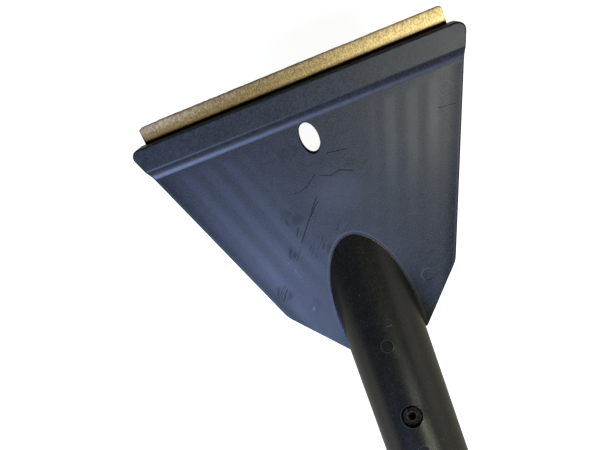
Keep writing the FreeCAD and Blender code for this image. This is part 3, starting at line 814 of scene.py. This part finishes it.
def worn_blade():
    """The brass strip with its outer edge worn ragged: cut into columns, then filed down by noise."""
    mesh = bpy.data.meshes.new("blade_worn")
    work = bmesh.new()
    work.from_mesh(NODES["brass_blade"].data)
    work.transform(TO_HEAD)
    bmesh.ops.remove_doubles(work, verts=work.verts, dist=0.001)
    bmesh.ops.dissolve_limit(work, angle_limit=math.radians(1.0), verts=work.verts, edges=work.edges)
    low = Vector([min(v.co[i] for v in work.verts) for i in range(3)])
    high = Vector([max(v.co[i] for v in work.verts) for i in range(3)])
    cuts = [((0.0, high.y - depth, 0.0), (0.0, 1.0, 0.0)) for depth in TIP_ROWS]
    columns = int((high.x - low.x) / TIP_COLUMN)
    for column in range(1, columns):
        cuts.append(((low.x + column * (high.x - low.x) / columns, 0.0, 0.0), (1.0, 0.0, 0.0)))
    for point, normal in cuts:
        faces = [face for face in work.faces if face.calc_center_median().y > 0.0 or normal[1] > 0.0]
        parts = set(faces)
        parts.update(edge for face in faces for edge in face.edges)
        parts.update(vert for face in faces for vert in face.verts)
        bmesh.ops.bisect_plane(work, geom=list(parts), plane_co=point, plane_no=normal)
    for vert in work.verts:
        near_tip = max(0.0, 1.0 - (high.y - vert.co.y) / TIP_ROWS[-1])
        if near_tip <= 0.0:
            continue
        spot = Vector((vert.co.x * WEAR_FINE, 0.0, 3.0))
        broad = Vector((vert.co.x * WEAR_BROAD, 0.0, 7.0))
        bite = WEAR_MEAN + 0.5 * noise.noise(spot) + 0.5 * noise.noise(broad)
        corner = max(0.0, 1.0 - (vert.co.x - low.x) / CORNER_CHIP_WIDTH)
        chip = CORNER_CHIP * corner * (0.7 + noise.noise(spot * 1.3))
        vert.co.y -= (TIP_WEAR * min(max(bite, 0.0), 1.0) + chip) * near_tip
        middle = (low.z + high.z) / 2
        vert.co.z = middle + (vert.co.z - middle) * (1.0 - TIP_THINNING * near_tip ** 3)
    bmesh.ops.recalc_face_normals(work, faces=work.faces)
    work.transform(HEAD)
    work.to_mesh(mesh)
    work.free()
    blade = new_piece("blade_worn", mesh)
    soften = blade.modifiers.new("worn_edges", "BEVEL")
    soften.width = EDGE_SOFTENING * MM
    soften.segments = 2
    soften.angle_limit = math.radians(50)
    soften.harden_normals = False
    for polygon in mesh.polygons:
        polygon.use_smooth = True
    return blade


def foam_grip():
    """Foam sleeve with two flats, rolled ends and soft unevenness pressed into it."""
    low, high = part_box("grip_sleeve")
    centre = (low + high) / 2
    radius = (high.x - low.x) / 2
    half_height = (high.z - low.z) / 2
    bore = (TUBE_HIGH.x - TUBE_LOW.x) / 2
    end = GRIP_END_RADIUS * MM
    stations = profile_stations(low.y, high.y, end)
    mesh = bpy.data.meshes.new("grip_foam_sleeve")
    work = bmesh.new()
    rings = []
    for y, inset in stations:
        rings.append(sleeve_ring(work, centre, y, radius - inset, half_height - inset, radius))
    for y in (high.y, low.y):
        rings.append([
            work.verts.new(Vector((centre.x + bore * math.cos(a), y, centre.z + bore * math.sin(a))))
            for a in (2 * math.pi * i / GRIP_TURNS for i in range(GRIP_TURNS))
        ])
    count = len(rings)
    for index in range(count):
        here, after = rings[index], rings[(index + 1) % count]
        for i in range(GRIP_TURNS):
            j = (i + 1) % GRIP_TURNS
            work.faces.new((here[i], here[j], after[j], after[i]))
    bmesh.ops.recalc_face_normals(work, faces=work.faces)
    for face in work.faces:
        face.smooth = True
    work.to_mesh(mesh)
    work.free()
    return new_piece("grip_foam_sleeve", mesh)


def profile_stations(start, stop, end):
    """Places along the sleeve with how far its skin lies inside the full section there."""
    places = []
    for i in range(GRIP_END_STEPS + 1):
        angle = math.pi / 2 * i / GRIP_END_STEPS
        places.append((start + end * (1 - math.sin(angle)), end * (1 - math.cos(angle))))
    places = places[::-1]
    rows = int((stop - start - 2 * end) / (GRIP_STEP * MM))
    middle = [(start + end + (stop - start - 2 * end) * i / rows, 0.0) for i in range(1, rows)]
    tail = [(start + stop - y, inset) for y, inset in reversed(places)]
    return places + middle + tail


def sleeve_ring(work, centre, y, radius, half_height, full_radius):
    """One ring of the sleeve: a circle cut flat above and below, and dented by noise."""
    ring = []
    for i in range(GRIP_TURNS):
        angle = 2 * math.pi * i / GRIP_TURNS
        across, up = math.cos(angle), math.sin(angle)
        reach = radius
        if abs(up) * radius > half_height:
            flat = half_height / abs(up)
            reach = min(radius, flat)
        spot = Vector((across * full_radius, y, up * full_radius)) / MM
        dent = 0.5 + 0.5 * noise.noise(spot / GRIP_DENT_BROAD) + 0.25 * noise.noise(spot / GRIP_DENT_FINE)
        reach -= GRIP_DENT * MM * min(max(dent, 0.0), 1.0)
        ring.append(work.verts.new(Vector((centre.x + reach * across, y, centre.z + reach * up))))
    return ring


# ------------------------------------------------------------------ stage

def area_light(name, at, towards, size, power, colour):
    """Soft rectangular light; places are in head axes."""
    data = bpy.data.lights.new(name, "AREA")
    data.shape = "RECTANGLE"
    data.size = size[0] * MM
    data.size_y = size[1] * MM
    data.energy = power
    data.color = colour
    lamp = bpy.data.objects.new(name, data)
    bpy.context.scene.collection.objects.link(lamp)
    start = head_point(*at)
    aim = head_point(*towards) - start
    lamp.matrix_world = Matrix.Translation(start) @ aim.to_track_quat("-Z", "Y").to_matrix().to_4x4()
    return lamp


def studio():
    """A surround that is pale to the camera and dim to all else, and the soft lights in LIGHTS."""
    world = bpy.data.worlds.new("studio")
    bpy.context.scene.world = world
    world.use_nodes = True
    tree = world.node_tree
    tree.nodes.clear()
    rays = tree.nodes.new("ShaderNodeLightPath")
    dim = tree.nodes.new("ShaderNodeBackground")
    dim.inputs["Color"].default_value = ROOM_LIGHT_COLOUR
    dim.inputs["Strength"].default_value = ROOM_LIGHT
    pale = tree.nodes.new("ShaderNodeBackground")
    pale.inputs["Color"].default_value = ROOM_SEEN_COLOUR
    pale.inputs["Strength"].default_value = ROOM_SEEN
    mix = tree.nodes.new("ShaderNodeMixShader")
    output = tree.nodes.new("ShaderNodeOutputWorld")
    tree.links.new(rays.outputs["Is Camera Ray"], mix.inputs[0])
    tree.links.new(dim.outputs[0], mix.inputs[1])
    tree.links.new(pale.outputs[0], mix.inputs[2])
    tree.links.new(mix.outputs[0], output.inputs["Surface"])
    for light in LIGHTS:
        area_light(*light)
    bpy.context.scene.view_settings.view_transform = "Standard"


def floor():
    """A flat sheet at the part's lowest point."""
    mesh = bpy.data.meshes.new("floor")
    work = bmesh.new()
    bmesh.ops.create_grid(work, x_segments=8, y_segments=8, size=FLOOR_HALF_SIZE)
    work.to_mesh(mesh)
    work.free()
    obj = new_piece("floor", mesh)
    obj.location.z = CAD_BOX[0][2]
    paint(obj, pale_floor())


def camera():
    """The photo's viewing angle, from the places and roll named above."""
    data = bpy.data.cameras.new("camera")
    data.lens = CAMERA_LENS
    data.sensor_width = SENSOR_WIDTH
    data.clip_start = CAMERA_CLIP_START
    obj = bpy.data.objects.new("camera", data)
    bpy.context.scene.collection.objects.link(obj)
    bpy.context.scene.camera = obj
    at = head_point(*CAMERA_AT)
    back = (at - head_point(*CAMERA_LOOKS_AT)).normalized()
    blade_up = HEAD.to_3x3().col[1].normalized()
    right = blade_up.cross(back).normalized()
    up = back.cross(right)
    turn = Matrix((right, up, back)).transposed() @ Matrix.Rotation(math.radians(-CAMERA_ROLL), 3, "Z")
    obj.matrix_world = Matrix.Translation(at) @ turn.to_4x4()


# ------------------------------------------------------------------ assembly

def dress():
    """Materials for the CAD pieces, and the two meshes that stand for soft or worn ones."""
    paint(NODES["head_moulding"], head_plastic())
    paint(NODES["handle_tube"], drawn_aluminium())
    paint(NODES["rivet_body"], rusty_steel("rivet_steel", *RIVET_STEEL))
    paint(NODES["rivet_mandrel"], rusty_steel("mandrel_steel", *MANDREL_STEEL))
    paint(NODES["end_cap"], cap_plastic())

    blade = worn_blade()
    paint(blade, blade_brass())
    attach(blade, "root")
    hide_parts("brass_blade")

    grip = foam_grip()
    paint(grip, foam_rubber())
    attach(grip, "root")
    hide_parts("grip_sleeve")


dress()
studio()
floor()
camera()
